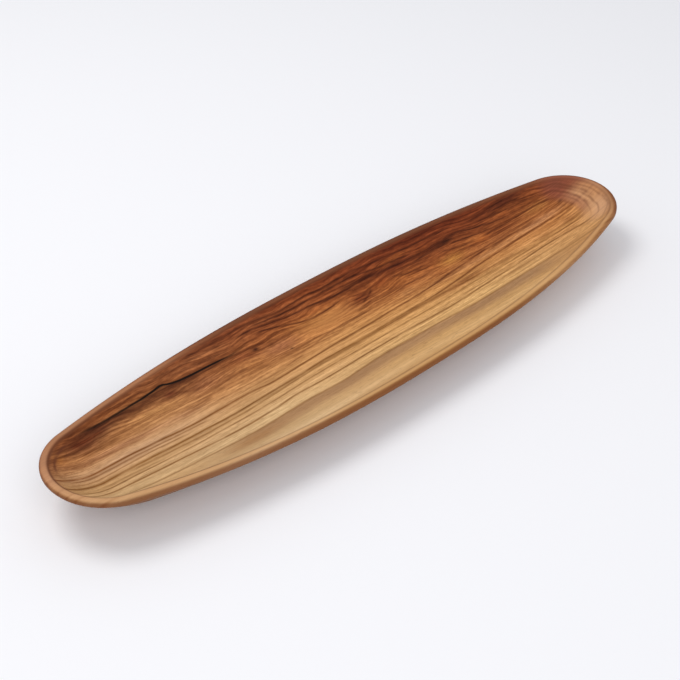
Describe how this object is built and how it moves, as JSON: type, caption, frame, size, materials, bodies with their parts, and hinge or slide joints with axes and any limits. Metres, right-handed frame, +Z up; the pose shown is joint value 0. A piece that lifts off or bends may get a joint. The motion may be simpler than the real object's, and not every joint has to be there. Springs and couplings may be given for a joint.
{
  "type": "serving boat",
  "caption": "Long shallow serving boat carved from solid wood, with a dished trough, blunt rounded ends, a rim that sweeps up towards the tips and a flat foot.",
  "frame": {"origin": "centre of the flat foot, on the table plane", "axes": "+X along the boat towards one tip, +Y across it, +Z up out of the trough"},
  "size_m": [0.508, 0.128, 0.0383],
  "materials": {
    "oiled_wood": "satin oil over figured hardwood, golden sapwood to red-brown heartwood"
  },
  "bodies": {
    "root": {"boat_body": "oiled_wood"}
  },
  "joints": []
}
